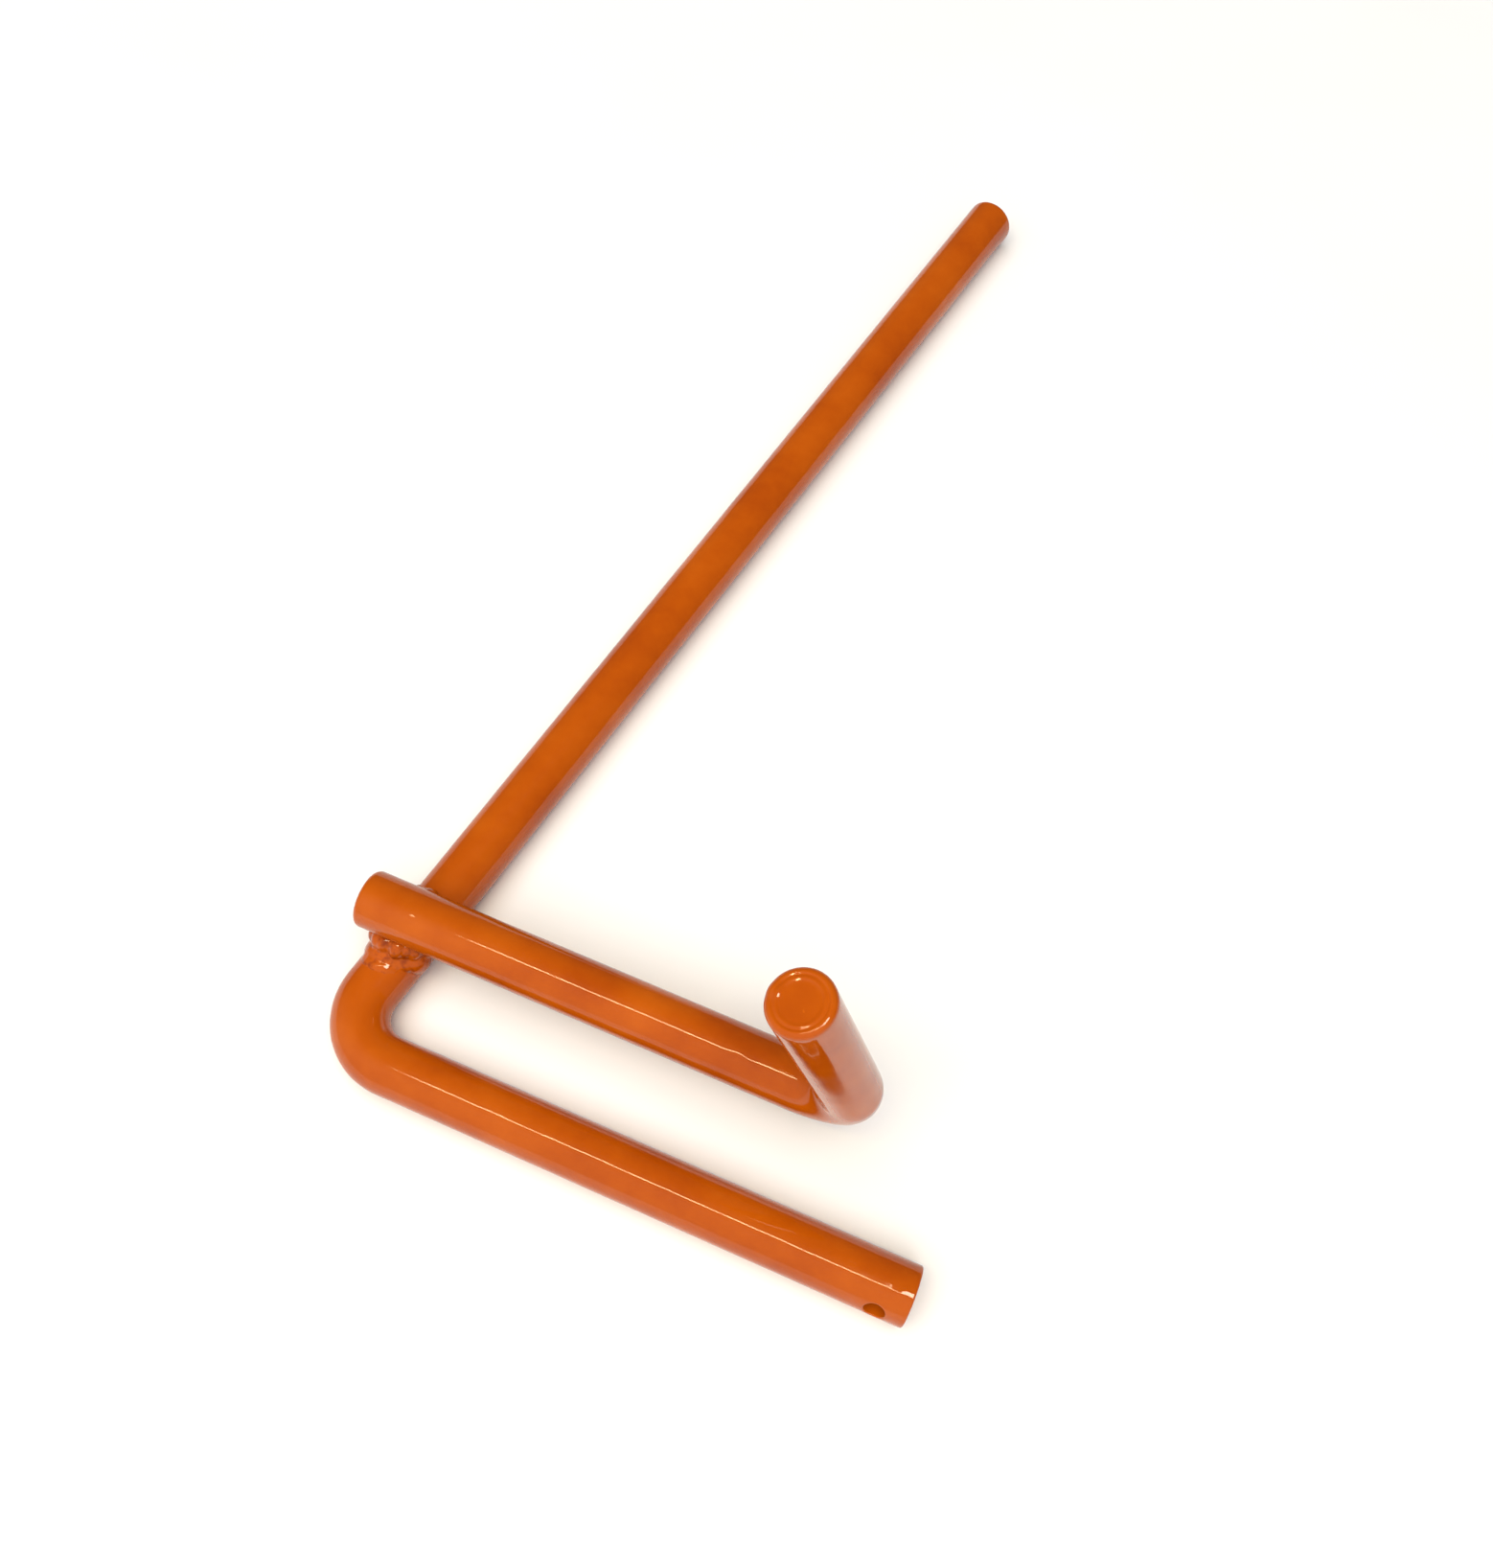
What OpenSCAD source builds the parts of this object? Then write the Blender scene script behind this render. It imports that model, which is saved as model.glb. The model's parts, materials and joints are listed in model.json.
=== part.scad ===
// Round-bar pivot lever: a bent lever bar with a bent hook bar welded across it.
// The lever bar lies on the plane z = 0, its pivot arm along +X.
// The origin is the middle of the whole tool's footprint.

/* [Bar] */
// Diameter of the round bar
bar_d = 20; // [18:0.5:22]
// Centreline radius of both bends
bend_r = 18; // [14:1:24]
// Swell of the bar's radius in the bends
bend_swell = 0.05; // [0.05:0.05:0.3]
// Rounding of the ground ends: the shaft's, the cross bar's and the peg's
end_r = 2; // [1:0.5:3]
// Rounding of the pivot arm's sawn end
sawn_r = 0.8; // [0.4:0.1:2]

/* [Lever bar] */
// Length of the shaft, from the corner where the bar axes meet
shaft_len = 461; // [300:1:600]
// Length of the pivot arm, from the same corner
arm_len = 206; // [180:1:260]
// Angle between the shaft and the pivot arm
lever_angle = 80; // [75:1:90]

/* [Pin hole] */
// Diameter of the cross hole in the pivot arm
hole_d = 7; // [5:0.5:8]
// Distance from the hole to the end of the pivot arm
hole_setback = 10; // [8:1:20]
// Tilt of the hole above the plane of the lever
hole_tilt = 20; // [0:5:60]

/* [Hook bar] */
// Distance between the axes of the cross bar and the pivot arm
cross_offset = 44; // [42:1:60]
// Distance the cross bar reaches behind the lever's corner
cross_overhang = 7; // [6:1:30]
// Distance from the lever's corner to the peg's corner, along the pivot arm
cross_reach = 170; // [120:1:200]
// Length of the peg, from the corner where its axis meets the cross bar's axis
peg_len = 100; // [60:1:140]
// Angle between the cross bar and the peg
peg_angle = 75; // [70:1:90]
// Sideways lean of the peg, towards the pivot arm
peg_lean = 4; // [0:1:8]

/* [Welds] */
// Gap between the two bars where they cross
root_gap = 0.2; // [0.1:0.1:0.5]
// Radius of a weld bead
weld_r = 4; // [3.5:0.25:4.5]
// Depth the weld beads sink into each bar
weld_sink = 1.8; // [1.5:0.1:2]
// Half length of a weld, across the lever bar
weld_half = 7; // [5:0.5:7]
// Radius of the flat lobe that starts the front weld
lobe_r = 8; // [7:0.5:9]
// Height of the lobe above the bar's surface
lobe_rise = 1.2; // [0.8:0.1:1.5]
// Distance from the cross bar's axis to the lobe
lobe_offset = 13; // [12:0.5:14]
// Distance from the middle of the lever bar to the lobe
lobe_side = 4; // [2:0.5:5]

/* [Hidden] */
bar_r = bar_d / 2;
axis_gap = bar_d + root_gap;
cross_len = cross_reach + cross_overhang;
weld_orbit = bar_r + weld_r - weld_sink;
weld_count = 6;
lobe_depth = bar_r + lobe_rise - lobe_r;
lobe_drop = sqrt(pow(bar_r, 2) - pow(lobe_side, 2)) / bar_r;
cut_len = 60;
leg_root = 0.5;
elbow_r = bar_r + bend_swell;
rear_x = min(-cross_overhang, bend_r / tan(lever_angle / 2) - bend_r - elbow_r);
front_x = max(arm_len, cross_reach - bend_r / tan(peg_angle / 2) + bend_r + elbow_r);
tip_y = (shaft_len - end_r) * sin(lever_angle) + (bar_r - end_r) * cos(lever_angle) + end_r;
corner = [-(rear_x + front_x) / 2, -(tip_y - elbow_r) / 2, elbow_r];
paint = [0.86, 0.36, 0.05];
weld_paint = [0.78, 0.31, 0.05];
$fn = 64;

// Moves its children from the lever's corner to their place in the tool's frame.
module from_corner() {
  translate(corner)
    children();
}

// A straight leg along +X whose far end is rounded by edge_r.
module leg(from, to, edge_r) {
  rotate([0, 90, 0])
    rotate_extrude() {
      translate([0, from])
        square([bar_r, to - from - edge_r]);
      translate([0, from])
        square([bar_r - edge_r, to - from]);
      translate([bar_r - edge_r, to - edge_r])
        circle(r = edge_r);
    }
}

// A bar bent once: one leg along +X, the other turned by angle in the XY plane.
module bent_bar(first, second, angle, first_edge_r) {
  tangent = bend_r / tan(angle / 2);
  centre = bend_r / sin(angle / 2);
  leg(tangent - leg_root, first, first_edge_r);
  rotate([0, 0, angle])
    leg(tangent - leg_root, second, end_r);
  rotate([0, 0, angle / 2])
    translate([centre, 0, 0])
      rotate([0, 0, angle / 2 + 90])
        rotate_extrude(angle = 180 - angle)
          translate([bend_r, 0])
            circle(r = elbow_r);
}

// The cross hole through the pivot arm, for a clip pin.
module pin_hole() {
  translate([arm_len - hole_setback, 0, 0])
    rotate([90 - hole_tilt, 0, 0])
      cylinder(h = cut_len, d = hole_d, center = true);
}

// The lever bar: shaft, bend and pivot arm in one piece.
module lever_bar() {
  color(paint)
    from_corner()
      difference() {
        bent_bar(arm_len, shaft_len, lever_angle, sawn_r);
        pin_hole();
      }
}

// The hook bar: cross bar, bend and peg in one piece.
module hook_bar() {
  color(paint)
    from_corner()
      translate([cross_reach, cross_offset, axis_gap])
        rotate([peg_lean, 0, 0])
          rotate([90, 0, 180])
            bent_bar(cross_len, peg_len, peg_angle, end_r);
}

// Moves its children to the crossing, with Y along the shaft and Z up.
module at_crossing() {
  from_corner()
    translate([cross_offset / tan(lever_angle), cross_offset, 0])
      children();
}

// The surfaces of the two bars at the crossing, for trimming the welds.
module crossing_bars() {
  rotate([0, 90, 0])
    translate([-axis_gap, 0, 0])
      cylinder(h = cut_len, r = bar_r, center = true);
  rotate([0, 0, lever_angle])
    rotate([0, 90, 0])
      cylinder(h = cut_len, r = bar_r, center = true);
}

// One bead, nested between both bars, at a distance across the lever bar.
module bead(across, side) {
  up = sqrt(pow(weld_orbit, 2) - pow(across, 2));
  along = side * sqrt(pow(weld_orbit, 2) - pow(axis_gap - up, 2));
  translate([(across + along * cos(lever_angle)) / sin(lever_angle), along, up])
    sphere(r = weld_r);
}

// A row of overlapping beads on one side of the cross bar.
module bead_row(side) {
  for (i = [0 : weld_count])
    bead(weld_half * (2 * i / weld_count - 1), side);
}

// The flat lobe of weld that spreads on the lever bar in front of the cross bar.
module lobe() {
  translate([(-lobe_side - lobe_offset * cos(lever_angle)) / sin(lever_angle), -lobe_offset, 0])
    translate([lobe_side * (1 - lobe_depth / bar_r), 0, lobe_depth * lobe_drop])
      sphere(r = lobe_r);
}

// The weld on the side of the cross bar that faces the bend.
module weld_front() {
  color(weld_paint)
    at_crossing()
      difference() {
        union() {
          bead_row(-1);
          lobe();
        }
        crossing_bars();
      }
}

// The weld on the side of the cross bar that faces the shaft.
module weld_rear() {
  color(weld_paint)
    at_crossing()
      difference() {
        bead_row(1);
        crossing_bars();
      }
}

lever_bar();
hook_bar();
weld_front();
weld_rear();
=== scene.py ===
"""A round-bar pivot lever in gloss orange enamel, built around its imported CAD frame.

Two bent bars, each one mesh swept along its own centreline, and the two welds that join them.
"""

import json
import math

import bmesh
import bpy
from mathutils import Matrix, Vector, noise


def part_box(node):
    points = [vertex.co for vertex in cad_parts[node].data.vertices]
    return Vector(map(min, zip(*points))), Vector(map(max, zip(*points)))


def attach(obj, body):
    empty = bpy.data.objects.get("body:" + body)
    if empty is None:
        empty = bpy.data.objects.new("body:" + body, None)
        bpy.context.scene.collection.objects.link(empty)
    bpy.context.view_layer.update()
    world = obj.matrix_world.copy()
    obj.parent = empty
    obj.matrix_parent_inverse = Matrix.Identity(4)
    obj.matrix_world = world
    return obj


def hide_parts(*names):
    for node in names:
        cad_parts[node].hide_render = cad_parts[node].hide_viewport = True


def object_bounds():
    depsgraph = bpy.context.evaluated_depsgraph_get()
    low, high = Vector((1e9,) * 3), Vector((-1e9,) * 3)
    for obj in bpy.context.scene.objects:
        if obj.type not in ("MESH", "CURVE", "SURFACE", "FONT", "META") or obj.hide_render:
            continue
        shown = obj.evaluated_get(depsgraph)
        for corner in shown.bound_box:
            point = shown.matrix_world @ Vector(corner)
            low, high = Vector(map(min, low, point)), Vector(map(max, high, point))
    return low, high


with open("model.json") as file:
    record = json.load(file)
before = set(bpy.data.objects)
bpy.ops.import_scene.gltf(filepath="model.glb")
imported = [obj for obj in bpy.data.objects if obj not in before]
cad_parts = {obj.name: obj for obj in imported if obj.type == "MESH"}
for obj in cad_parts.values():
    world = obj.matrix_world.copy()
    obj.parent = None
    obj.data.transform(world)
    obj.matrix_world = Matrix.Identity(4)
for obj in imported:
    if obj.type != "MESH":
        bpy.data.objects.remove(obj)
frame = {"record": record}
cad_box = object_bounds()

# The frame is in metres; sizes here are written in millimetres, times MM.
MM = 0.001
UP = Vector((0, 0, 1))


# ---------------------------------------------------------------- sizes, from the frame

mounts = {m["name"]: m for m in frame["record"]["mounts"]}


def mount_place(name):
    """A round mount's middle, its axis and half its length."""
    mount = mounts[name]
    half = mount["dims"]["length_mm"] * MM / 2
    return Vector(mount["pos_m"]), Vector(mount["axis"]).normalized(), half


BAR_R = mounts["pivot_arm"]["dims"]["r_mm"] * MM
HOLE_R = mounts["pin_hole"]["dims"]["r_mm"] * MM
# Three of the bars' ends are ground round; the pivot arm's is sawn, with its edge just broken.
GROUND_R = 2 * MM
SAWN_R = 0.8 * MM
# The bend's radius, to the bar's middle, and the angle between the two legs of each bar.
BEND_R = 18 * MM
LEVER_ANGLE = math.radians(80)
HOOK_ANGLE = math.radians(75)

arm_mid, arm_axis, arm_half = mount_place("pivot_arm")
hole_mid, hole_axis, _ = mount_place("pin_hole")
peg_mid, peg_axis, peg_half = mount_place("peg")

lever_tangent = BEND_R / math.tan(LEVER_ANGLE / 2)
hook_tangent = BEND_R / math.tan(HOOK_ANGLE / 2)
shaft_axis = Vector((math.cos(LEVER_ANGLE), math.sin(LEVER_ANGLE), 0))
lever_corner = arm_mid - arm_axis * (arm_half + lever_tangent)
arm_end = arm_mid + arm_axis * (arm_half + SAWN_R)
# The shaft's rounded end touches the far side of its box.
lever_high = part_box("lever_bar")[1]
shaft_rise = lever_high.y - lever_corner.y - GROUND_R - (BAR_R - GROUND_R) * shaft_axis.x
shaft_end = lever_corner + shaft_axis * (shaft_rise / shaft_axis.y + GROUND_R)
hook_corner = peg_mid - peg_axis * (peg_half + hook_tangent)
peg_end = peg_mid + peg_axis * (peg_half + GROUND_R)
hook_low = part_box("hook_bar")[0]
cross_end = Vector((hook_low.x, hook_corner.y, hook_corner.z))
# The point of the lever bar's axis that lies under the cross bar's.
crossing = lever_corner + shaft_axis * ((hook_corner.y - lever_corner.y) / shaft_axis.y)


# ---------------------------------------------------------------- camera

CAMERA_AT = Vector((63.1, -298.9, 478.9)) * MM
CAMERA_AIM = Vector((-11.8, -74.5, 0)) * MM
CAMERA_ROLL = math.radians(-4.887)
SENSOR = 36
LENS = 32.851
CLIP_START = 10 * MM


def add_camera():
    data = bpy.data.cameras.new("camera")
    data.sensor_fit = "AUTO"
    data.sensor_width = SENSOR
    data.lens = LENS
    data.clip_start = CLIP_START
    camera = bpy.data.objects.new("camera", data)
    look = (CAMERA_AIM - CAMERA_AT).to_track_quat("-Z", "Y").to_matrix().to_4x4()
    roll = Matrix.Rotation(-CAMERA_ROLL, 4, "Z")
    camera.matrix_world = Matrix.Translation(CAMERA_AT) @ look @ roll
    bpy.context.scene.collection.objects.link(camera)
    bpy.context.scene.camera = camera


# ---------------------------------------------------------------- mesh helpers

# Cells round a bar, the length of a square one, and of the longer ones away from the hole.
AROUND = 96
STEP = BAR_R * math.tau / AROUND
LONG_STEP = 2.5 * STEP
BEND_RINGS = 48
EDGE_RINGS = 8
FACE_RINGS = 28
# The hole's mouth fills a block of cells, this many each way from its middle.
HOLE_CELLS = 8
MOUTH_RINGS = 5
WALL_RINGS = 10
RIM_R = 0.6 * MM
# The ring of thick enamel on each end face: its height, its inset and half its width.
FAT_EDGE = 0.24 * MM
FAT_INSET = 1.4 * MM
FAT_WIDTH = 0.62 * MM


def smooth(mesh):
    for face in mesh.polygons:
        face.use_smooth = True


def new_object(name, mesh):
    obj = bpy.data.objects.new(name, mesh)
    bpy.context.scene.collection.objects.link(obj)
    smooth(mesh)
    return obj


def spread(count):
    """Fractions from 0 to 1, both included."""
    return [i / count for i in range(count + 1)]


def centreline(start, corner, end, edge_r, hole=None):
    """Rings along a bar bent once, as (point, direction), with finer ones around a hole.

    The rings stop where the rounded edges of the two ends begin.
    """
    into = (corner - start).normalized()
    out = (end - corner).normalized()
    turn = into.angle(out)
    tangent = BEND_R * math.tan(turn / 2)
    side = (out - into * out.dot(into)).normalized()
    centre = corner - into * tangent + side * BEND_R
    rings = []
    first = (corner - start).length - tangent - GROUND_R
    for f in spread(round(first / LONG_STEP)):
        rings.append((start + into * (GROUND_R + first * f), into))
    for f in spread(BEND_RINGS)[1:-1]:
        a = turn * f
        point = centre - side * BEND_R * math.cos(a) + into * BEND_R * math.sin(a)
        rings.append((point, into * math.cos(a) + side * math.sin(a)))
    last = (end - corner).length - tangent - edge_r
    setback = (end - hole).length - edge_r if hole else 0
    plain = last - 2 * setback
    begin = corner + out * tangent
    for f in spread(round(plain / LONG_STEP)):
        rings.append((begin + out * (plain * f), out))
    if hole:
        for f in spread(2 * round(setback / STEP))[1:]:
            rings.append((begin + out * (plain + 2 * setback * f), out))
    return rings


class Bar:
    """A mesh swept along a bent centreline, with rounded ends.

    edge_r is the last end's rounding, and each ring's first point lies towards zero.
    """

    def __init__(self, start, corner, end, zero, edge_r, hole=None):
        self.mesh = bmesh.new()
        self.rings = centreline(start, corner, end, edge_r, hole)
        normal = (corner - start).cross(end - corner).normalized()
        flat = normal.cross(self.rings[-1][1]).normalized()
        self.offset = math.atan2(zero.dot(normal), zero.dot(flat))
        self.normal = normal
        self.loops = [self.ring(p, d, BAR_R) for p, d in self.rings]

    def ring(self, point, direction, radius):
        """New points in a circle round the bar's axis."""
        flat = self.normal.cross(direction)
        loop = []
        for j in range(AROUND):
            a = math.tau * j / AROUND + self.offset
            spoke = flat * math.cos(a) + self.normal * math.sin(a)
            loop.append(self.mesh.verts.new(point + spoke * radius))
        return loop

    def skin(self, one, two, skip=()):
        """Faces between two rings, apart from the cells in skip."""
        for j in range(AROUND):
            if j not in skip:
                k = (j + 1) % AROUND
                self.mesh.faces.new((one[j], one[k], two[k], two[j]))

    def close(self, index, outward, edge_r):
        """The rounded edge of one end and its face, where the enamel drew up into a low ring."""
        point, direction = self.rings[index]
        loop = self.loops[index]
        for f in spread(EDGE_RINGS)[1:]:
            a = math.pi / 2 * f
            radius = BAR_R - edge_r + edge_r * math.cos(a)
            middle = point + direction * (outward * edge_r * math.sin(a))
            nxt = self.ring(middle, direction, radius)
            self.skin(loop, nxt)
            loop = nxt
        for f in spread(FACE_RINGS)[1:-1]:
            inset = radius * f
            ridge = FAT_EDGE * math.exp(-(((inset - FAT_INSET) / FAT_WIDTH) ** 2))
            lift = direction * (outward * (ridge - FAT_EDGE))
            nxt = self.ring(middle + lift, direction, radius - inset)
            self.skin(loop, nxt)
            loop = nxt
        tip = self.mesh.verts.new(middle + lift)
        for j in range(AROUND):
            self.mesh.faces.new((loop[j], loop[(j + 1) % AROUND], tip))

    def sheathe(self, open_rings=()):
        """The bar's side, left open on both sides along open_rings, where a hole's mouths are."""
        for i in range(len(self.loops) - 1):
            skip = set()
            if i in open_rings:
                for mouth in (0, AROUND // 2):
                    skip |= {(mouth + k) % AROUND for k in range(-HOLE_CELLS, HOLE_CELLS)}
            self.skin(self.loops[i], self.loops[i + 1], skip)

    def finish(self, name):
        bmesh.ops.recalc_face_normals(self.mesh, faces=self.mesh.faces)
        mesh = bpy.data.meshes.new(name)
        self.mesh.to_mesh(mesh)
        self.mesh.free()
        return new_object(name, mesh)


def block_edge(half):
    """The cells (along, across) round the edge of a square block, in order."""
    edge = [(-half, k) for k in range(-half, half)]
    edge += [(k, half) for k in range(-half, half)]
    edge += [(half, -k) for k in range(-half, half)]
    edge += [(-k, -half) for k in range(-half, half)]
    return edge


def drill(bar, at, axis):
    """The cross hole: two filleted mouths and the wall between them."""
    along = bar.rings[-1][1]
    across = axis.cross(along).normalized()
    middle = min(range(len(bar.rings)), key=lambda i: (bar.rings[i][0] - at).length)
    at = bar.rings[middle][0]
    bar.sheathe(range(middle - HOLE_CELLS, middle + HOLE_CELLS))

    def rim_point(side, cu, cv, reach, sink):
        """A point round one mouth, at reach from the hole's axis and sunk below the bar's side."""
        v = cv * reach
        height = math.sqrt(BAR_R**2 - v**2) - sink
        return bar.mesh.verts.new(at + along * (cu * reach) + across * v + axis * side * height)

    walls = []
    for side in (1, -1):
        rows = []
        for i, k in block_edge(HOLE_CELLS):
            j = k if side == 1 else AROUND // 2 - k
            vert = bar.loops[middle + i][j % AROUND]
            seat = vert.co - at
            u = seat.dot(along)
            v = seat.dot(across)
            length = math.hypot(u, v)
            cu, cv = u / length, v / length
            row = [vert]
            outer = HOLE_R + RIM_R
            for f in spread(MOUTH_RINGS)[1:]:
                reach = length + (outer - length) * f
                row.append(rim_point(side, cu, cv, reach, 0))
            for f in spread(MOUTH_RINGS)[1:]:
                a = math.pi / 2 * f
                reach = HOLE_R + RIM_R * (1 - math.sin(a))
                row.append(rim_point(side, cu, cv, reach, RIM_R * (1 - math.cos(a))))
            rows.append(row)
        for one, two in zip(rows, rows[1:] + rows[:1]):
            for r in range(len(one) - 1):
                bar.mesh.faces.new((one[r], one[r + 1], two[r + 1], two[r]))
        walls.append([row[-1] for row in rows])
    loop = walls[0]
    for f in spread(WALL_RINGS)[1:-1]:
        nxt = [bar.mesh.verts.new(a.co.lerp(b.co, f)) for a, b in zip(walls[0], walls[1])]
        bridge(bar.mesh, loop, nxt)
        loop = nxt
    bridge(bar.mesh, loop, walls[1])


def bridge(mesh, one, two):
    """Faces between two closed loops of as many points."""
    count = len(one)
    for m in range(count):
        n = (m + 1) % count
        mesh.faces.new((one[m], one[n], two[n], two[m]))


# ---------------------------------------------------------------- enamel surface

# The waves in the dried enamel, as (length, height).
WAVES = ((9 * MM, 0.045 * MM), (3.5 * MM, 0.012 * MM))


def swell(mesh, rise):
    """Moves each point out along its normal by rise(point)."""
    moves = [vert.normal * rise(vert.co) for vert in mesh.vertices]
    for vert, move in zip(mesh.vertices, moves):
        vert.co += move


def dip(obj, seed, runs):
    """Waves in the enamel, and the runs that gathered where the bar hung to dry.

    Each run is (place, reach, height): a soft bump over the surface.
    """
    shift = Vector((seed, 2 * seed, 3 * seed))

    def rise(place):
        total = 0
        for size, height in WAVES:
            total += (noise.noise(place / size + shift) - 0.5) * height
        for middle, reach, height in runs:
            near = (place - middle).length / reach
            if near < 1:
                total += height * (1 - near**2) ** 2
        return total

    swell(obj.data, rise)


# ---------------------------------------------------------------- bars


def on_bar(end, outward, back, tilt):
    """A point on a level bar's side, back millimetres from its end.

    It is tilt degrees from the top, towards -Y, or +X where the bar runs along Y.
    """
    side = Vector((outward.y, -outward.x, 0)) * (1 if outward.x > 0 else -1)
    a = math.radians(tilt)
    return end - outward * (back * MM) + (UP * math.cos(a) + side * math.sin(a)) * BAR_R


def lever_bar():
    bar = Bar(shaft_end, lever_corner, arm_end, hole_axis, SAWN_R, hole_mid)
    drill(bar, hole_mid, hole_axis)
    bar.close(0, -1, GROUND_R)
    bar.close(-1, 1, SAWN_R)
    obj = bar.finish("lever_bar_enamelled")
    runs = [
        (on_bar(arm_end, arm_axis, back=4, tilt=130), 7 * MM, 0.3 * MM),
        (on_bar(shaft_end, shaft_axis, back=4, tilt=120), 8 * MM, 0.4 * MM),
        (on_bar(arm_end, arm_axis, back=4.6, tilt=11), 2.8 * MM, 0.3 * MM),
        (on_bar(arm_end, arm_axis, back=3.4, tilt=0), 1.4 * MM, 0.14 * MM),
    ]
    dip(obj, seed=11, runs=runs)
    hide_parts("lever_bar")
    return obj


def hook_bar():
    normal = (hook_corner - cross_end).cross(peg_end - hook_corner).normalized()
    bar = Bar(cross_end, hook_corner, peg_end, normal, GROUND_R)
    bar.sheathe()
    bar.close(0, -1, GROUND_R)
    bar.close(-1, 1, GROUND_R)
    obj = bar.finish("hook_bar_enamelled")
    left = Vector((-1, 0.1, 0))
    left = (left - peg_axis * peg_axis.dot(left)).normalized()
    cross_out = -arm_axis
    runs = [
        (peg_end + left * (BAR_R - 2.2 * MM), 3.2 * MM, 0.45 * MM),
        (on_bar(cross_end, cross_out, back=4, tilt=150), 7 * MM, 0.3 * MM),
        (on_bar(cross_end, cross_out, back=18, tilt=9), 4 * MM, 0.16 * MM),
        (on_bar(cross_end, cross_out, back=135, tilt=8), 2.2 * MM, 0.16 * MM),
        (on_bar(cross_end, cross_out, back=139, tilt=16), 1.8 * MM, 0.12 * MM),
    ]
    dip(obj, seed=23, runs=runs)
    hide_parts("hook_bar")
    return obj


# ---------------------------------------------------------------- welds

# Each weld is a row of flattened beads, sunk into both bars and melted together.
WELD_R = 4 * MM
WELD_SINK = 1.8 * MM
WELD_HALF = 8.4 * MM
BEADS = 9
BEAD_FLAT = 0.8
BEAD_WOBBLE = 0.4 * MM
MELT_VOXEL = 0.22 * MM
MELT_PASSES = 30
# The lumps left in the melted skin.
LUMP_SIZE = 3 * MM
LUMP_HEIGHT = 0.15 * MM
# Spilt weld, as (along the lever bar, across it, above its axis, radius), in millimetres.
FRONT_BLOBS = (
    (-11.6, -1.2, 3.2, 9),
    (-15.8, -0.6, 2.4, 8.6),
    (-8.4, -2.6, 5.6, 7),
    (-7.0, -5.6, 4.8, 5.8),
    (-9.6, 4.4, 5.4, 5.4),
    (-7.6, 6.6, 4.6, 5.6),
)
REAR_BLOBS = (
    (8.0, 6.4, 4.6, 6),
    (11.2, 7.0, 3.6, 4.9),
    (7.6, -6.2, 4.6, 5.6),
    (10.4, -6.6, 3.4, 4.6),
)
axis_gap = hook_corner.z - crossing.z
lever_right = Vector((shaft_axis.y, -shaft_axis.x, 0))


def ball(mesh, place, radius, flat=1, lie=UP):
    """A ball, flattened along lie."""
    made = bmesh.ops.create_icosphere(mesh, subdivisions=3, radius=radius)
    turn = lie.to_track_quat("Z", "Y").to_matrix().to_4x4()
    press = Matrix.Diagonal((1, 1, flat, 1))
    bmesh.ops.transform(
        mesh, matrix=Matrix.Translation(place) @ turn @ press, verts=made["verts"]
    )


def bead_place(across, side, orbit):
    """The middle of a bead nested between both bars, at orbit from the axis of each.

    It is at the distance across from the lever bar's axis, on the cross bar's side given.
    """
    up = math.sqrt(orbit**2 - across**2)
    along = side * math.sqrt(orbit**2 - (axis_gap - up) ** 2)
    x = (across + along * shaft_axis.x) / shaft_axis.y
    return crossing + Vector((x, along, up))


def weld(name, side, seed, blobs):
    """A row of overlapping beads with blobs of spilt weld, melted into one lumpy skin.

    side is 1 for the side of the cross bar that faces +Y, and -1 for the other.
    """
    mesh = bmesh.new()
    orbit = BAR_R + WELD_R - WELD_SINK
    for f in spread(BEADS - 1):
        across = WELD_HALF * (2 * f - 1)
        wobble = BEAD_WOBBLE * noise.noise(Vector((seed, f * 9, 0)))
        here = bead_place(across, side, orbit + wobble)
        ahead = bead_place(across + 0.1 * MM, side, orbit + wobble)
        ball(mesh, here, WELD_R + wobble, BEAD_FLAT, ahead - here)
    for along, across, up, radius in blobs:
        place = shaft_axis * along + lever_right * across + UP * up
        ball(mesh, crossing + place * MM, radius * MM)
    data = bpy.data.meshes.new(name)
    mesh.to_mesh(data)
    mesh.free()
    obj = new_object(name, data)
    melt = obj.modifiers.new("melt", "REMESH")
    melt.mode = "VOXEL"
    melt.voxel_size = MELT_VOXEL
    flow = obj.modifiers.new("flow", "SMOOTH")
    flow.factor = 0.5
    flow.iterations = MELT_PASSES
    graph = bpy.context.evaluated_depsgraph_get()
    solid = bpy.data.meshes.new_from_object(obj.evaluated_get(graph))
    obj.modifiers.clear()
    obj.data = solid
    solid.name = name
    smooth(solid)
    swell(solid, lambda place: noise.noise(place / LUMP_SIZE) * LUMP_HEIGHT)
    return obj


def weld_front():
    obj = weld("weld_front_enamelled", side=-1, seed=3, blobs=FRONT_BLOBS)
    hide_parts("weld_front")
    return obj


def weld_rear():
    obj = weld("weld_rear_enamelled", side=1, seed=8, blobs=REAR_BLOBS)
    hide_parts("weld_rear")
    return obj


# ---------------------------------------------------------------- materials


def set_range(node, given, wanted):
    """Sets a Map Range node to take the range given to the range wanted."""
    node.inputs["From Min"].default_value, node.inputs["From Max"].default_value = given
    node.inputs["To Min"].default_value, node.inputs["To Max"].default_value = wanted


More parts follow.
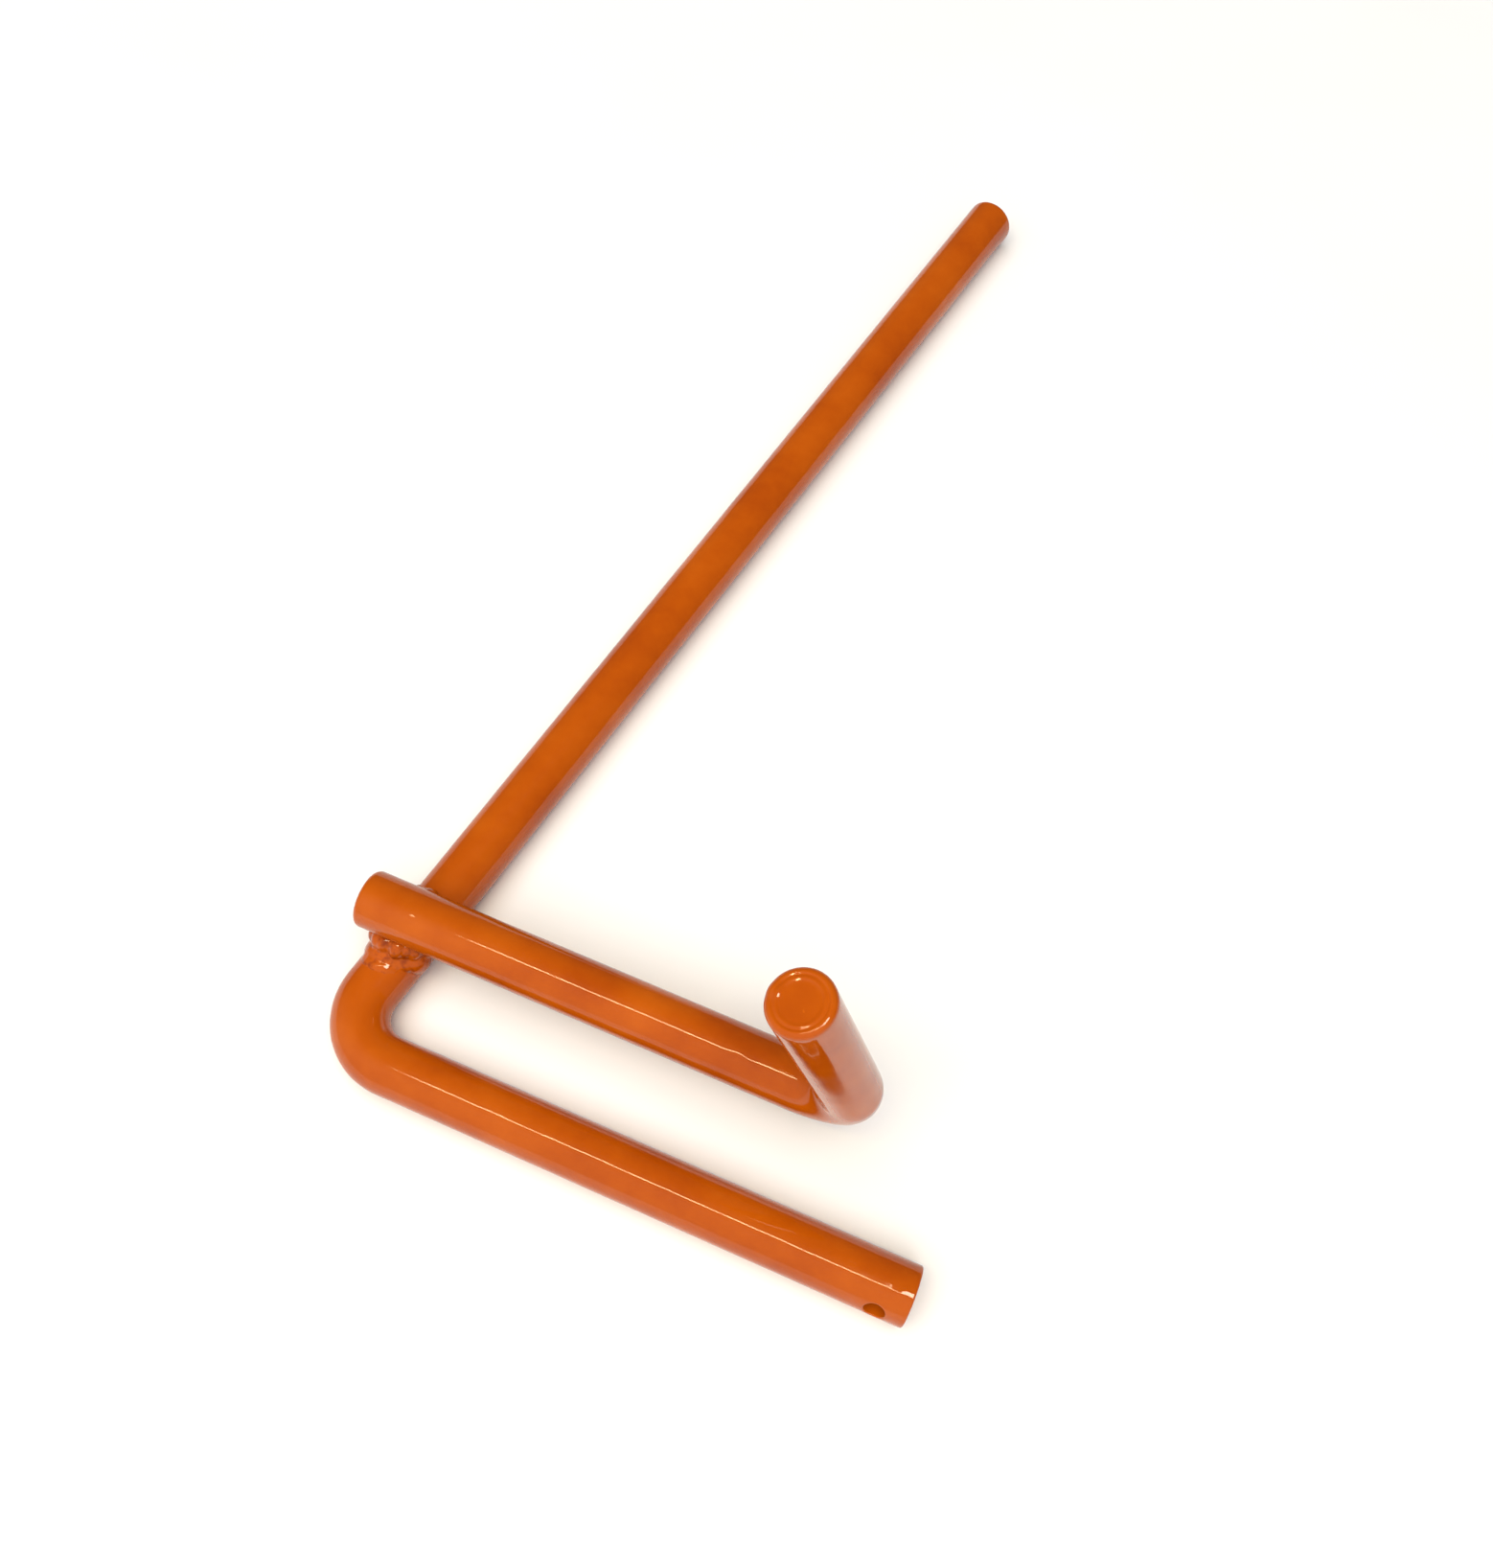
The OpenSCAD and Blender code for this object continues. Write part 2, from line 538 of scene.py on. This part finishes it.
class Nodes:
    """A short way to add nodes to a new material and wire them."""

    def __init__(self, name):
        self.material = bpy.data.materials.new(name)
        self.material.use_nodes = True
        self.tree = self.material.node_tree
        self.shader = self.tree.nodes["Principled BSDF"]

    def add(self, kind, **values):
        node = self.tree.nodes.new(kind)
        for key, value in values.items():
            setattr(node, key, value)
        return node

    def wire(self, source, target):
        self.tree.links.new(source, target)

    def fix(self, **values):
        """Sets the shader's own sockets, named with _ for a space."""
        for key, value in values.items():
            self.shader.inputs[key.replace("_", " ")].default_value = value

    def place(self):
        return self.add("ShaderNodeTexCoord").outputs["Object"]

    def noise(self, where, scale, detail=2, rough=0.5):
        """Noise with scale cells to the metre."""
        node = self.add("ShaderNodeTexNoise")
        node.inputs["Scale"].default_value = scale
        node.inputs["Detail"].default_value = detail
        node.inputs["Roughness"].default_value = rough
        self.wire(where, node.inputs["Vector"])
        return node.outputs["Fac"]

    def ramp(self, source, stops):
        node = self.add("ShaderNodeValToRGB")
        for _ in stops[2:]:
            node.color_ramp.elements.new(0.5)
        for element, (at, colour) in zip(node.color_ramp.elements, stops):
            element.position = at
            element.color = (*colour, 1)
        self.wire(source, node.inputs["Fac"])
        return node.outputs["Color"]

    def remap(self, source, given, wanted):
        node = self.add("ShaderNodeMapRange")
        set_range(node, given, wanted)
        self.wire(source, node.inputs["Value"])
        return node.outputs["Result"]

    def mix(self, factor, under, over):
        """The colour under, with the plain colour over laid on it by factor."""
        node = self.add("ShaderNodeMix", data_type="RGBA")
        self.wire(factor, node.inputs["Factor"])
        # The node has sockets of every type: 6 and 7 are its two colours, and output 2 their mix.
        self.wire(under, node.inputs[6])
        node.inputs[7].default_value = (*over, 1)
        return node.outputs[2]

    def bump(self, height, distance, strength, under=None):
        node = self.add("ShaderNodeBump")
        node.inputs["Distance"].default_value = distance
        node.inputs["Strength"].default_value = strength
        self.wire(height, node.inputs["Height"])
        if under is not None:
            self.wire(under, node.inputs["Normal"])
        return node.outputs["Normal"]


ORANGE = (0.405, 0.071, 0.0012)
# Also laid on sharp edges, partly for thin enamel and partly as a painted highlight.
ORANGE_THIN_AND_HIGHLIGHT = (0.475, 0.095, 0.003)
# Also laid in hollows, partly for pooled enamel and partly as painted shade.
ORANGE_POOLED_AND_SHADE = (0.33, 0.050, 0.001)
ORANGE_DEEP = (0.17, 0.020, 0.0008)
FLOOR_GREY = (0.80, 0.80, 0.80)
FLOOR_PALE = (0.83, 0.83, 0.83)


def enamel(name, pool_and_shade, crusted=0):
    """Thick gloss orange enamel: orange peel, cloudy depth, fine dust, and sharp edges made
    lighter, partly for thin enamel and partly as a painted highlight.

    Hollows are darker, partly for pooled enamel and partly as painted shade. Crusted enamel
    has dark patches, where it covers burnt weld.
    """
    n = Nodes(name)
    where = n.place()
    cloud = n.noise(where, 38, 4, 0.55)
    colour = n.ramp(cloud, [(0.25, ORANGE_POOLED_AND_SHADE), (0.5, ORANGE), (0.8, ORANGE_THIN_AND_HIGHLIGHT)])
    point = n.add("ShaderNodeNewGeometry").outputs["Pointiness"]
    # Sharp edges lighter: partly thin enamel, partly a painted highlight.
    edge = n.remap(point, (0.52, 0.60), (0, 0.9))
    colour = n.mix(edge, colour, ORANGE_THIN_AND_HIGHLIGHT)
    # Hollows darker: partly pooled enamel, partly painted shade.
    hollow_pool_and_shade = n.remap(point, (0.48, 0.40), (0, pool_and_shade))
    colour = n.mix(hollow_pool_and_shade, colour, ORANGE_POOLED_AND_SHADE)
    if crusted:
        patches = n.remap(n.noise(where, 260, 3, 0.6), (0.48, 0.66), (0, crusted))
        colour = n.mix(patches, colour, ORANGE_DEEP)
    n.wire(colour, n.shader.inputs["Base Color"])
    dust = n.noise(where, 900, 3, 0.6)
    n.wire(n.remap(dust, (0.35, 0.75), (0.22, 0.34)), n.shader.inputs["Roughness"])
    n.fix(Coat_Weight=0.9, Coat_Roughness=0.06, Coat_IOR=1.45, Specular_IOR_Level=0)
    short_peel = n.bump(n.noise(where, 420), 0.012 * MM, 0.6)
    peel = n.bump(n.noise(where, 120), 0.06 * MM, 0.6, short_peel)
    n.wire(peel, n.shader.inputs["Normal"])
    n.wire(peel, n.shader.inputs["Coat Normal"])
    return n.material


def floor_material():
    n = Nodes("pale_floor")
    grain = n.noise(n.place(), 6, 3)
    n.wire(n.ramp(grain, [(0.3, FLOOR_GREY), (0.7, FLOOR_PALE)]), n.shader.inputs["Base Color"])
    n.fix(Roughness=0.8, Specular_IOR_Level=0.1)
    return n.material


# ---------------------------------------------------------------- stage and lights

# The floor's side, in metres.
FLOOR_SIZE = 12
# The key lamp: what it aims at, the way and distance from there to it, its size and its power,
# in metres and watts.
LIT = Vector((0, -100, 0)) * MM
KEY_SIDE = Vector((-0.05, -0.22, 0.97))
KEY_REACH = 4
KEY_SIZE = 5
KEY_POWER = 228
WHITE = (1, 1, 1)
# The lamps that the enamel mirrors, all facing down: middle and size in millimetres, watts,
# and colour.
STRIP = ((-100, -470, 1200), (600, 36), 3.6, (1, 0.80, 0.42))
SIDE_STRIP = ((225, -335, 1200), (50, 270), 1.1, (1, 0.86, 0.55))
PANEL = ((400, -310, 1190), (320, 280), 6.6, (1, 0.92, 0.72))
# The room's light fades while a direction's Y goes from the first of these to the second.
SKY_FADE = (-0.5, 0.15)
SKY_BRIGHT = 0.60
SKY_DIM = 0.09
SKY_COLOUR = (1, 0.97, 0.92, 1)


def add_floor():
    mesh = bpy.data.meshes.new("floor")
    half = FLOOR_SIZE / 2
    corners = [(-half, -half, 0), (half, -half, 0), (half, half, 0), (-half, half, 0)]
    mesh.from_pydata(corners, [], [(0, 1, 2, 3)])
    floor = new_object("floor", mesh)
    floor.location.z = cad_box[0][2]
    mesh.materials.append(floor_material())


def area_light(name, place, aim, size, power, colour):
    """A rectangular lamp that faces aim, its first side as near to +X as that leaves."""
    data = bpy.data.lights.new(name, "AREA")
    data.shape = "RECTANGLE"
    data.size, data.size_y = size
    data.energy = power
    data.color = colour
    lamp = bpy.data.objects.new(name, data)
    back = (place - aim).normalized()
    up = back.cross(Vector((1, 0, 0))).normalized()
    turn = Matrix((up.cross(back), up, back)).transposed().to_4x4()
    lamp.matrix_world = Matrix.Translation(place) @ turn
    bpy.context.scene.collection.objects.link(lamp)
    return lamp


def mirrored_lamp(name, lamp):
    """One of the lamps listed above."""
    middle, (width, depth), power, colour = lamp
    place = Vector(middle) * MM
    return area_light(name, place, place - UP, (width * MM, depth * MM), power, colour)


def add_sky():
    """A dim room, lighter on the camera's side."""
    world = bpy.data.worlds.new("studio")
    bpy.context.scene.world = world
    world.use_nodes = True
    tree = world.node_tree
    sky = tree.nodes["Background"]
    sky.inputs["Color"].default_value = SKY_COLOUR
    where = tree.nodes.new("ShaderNodeTexCoord")
    split = tree.nodes.new("ShaderNodeSeparateXYZ")
    fade = tree.nodes.new("ShaderNodeMapRange")
    set_range(fade, SKY_FADE, (SKY_BRIGHT, SKY_DIM))
    tree.links.new(where.outputs["Generated"], split.inputs[0])
    tree.links.new(split.outputs["Y"], fade.inputs["Value"])
    tree.links.new(fade.outputs["Result"], sky.inputs["Strength"])


def add_lights():
    """A big soft key lamp that no gloss mirrors, and smaller lamps for the gloss to mirror."""
    add_sky()
    key = area_light(
        "key", LIT + KEY_SIDE * KEY_REACH, LIT, (KEY_SIZE, KEY_SIZE), KEY_POWER, WHITE
    )
    key.visible_glossy = False
    mirrored_lamp("strip", STRIP)
    mirrored_lamp("side_strip", SIDE_STRIP)
    panel = mirrored_lamp("panel", PANEL)
    panel.visible_diffuse = False


# ---------------------------------------------------------------- the scene

add_camera()
# The hollows darken more on the welds: pooled enamel and painted shade.
finishes = {
    "bar_enamel": enamel("bar_enamel", pool_and_shade=0.5),
    "weld_enamel": enamel("weld_enamel", pool_and_shade=0.9, crusted=0.75),
}
for piece, slot in (
    (lever_bar(), "bar_enamel"),
    (hook_bar(), "bar_enamel"),
    (weld_front(), "weld_enamel"),
    (weld_rear(), "weld_enamel"),
):
    piece.data.materials.clear()
    piece.data.materials.append(finishes[slot])
    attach(piece, "root")
add_floor()
add_lights()
bpy.context.scene.view_settings.view_transform = "Standard"
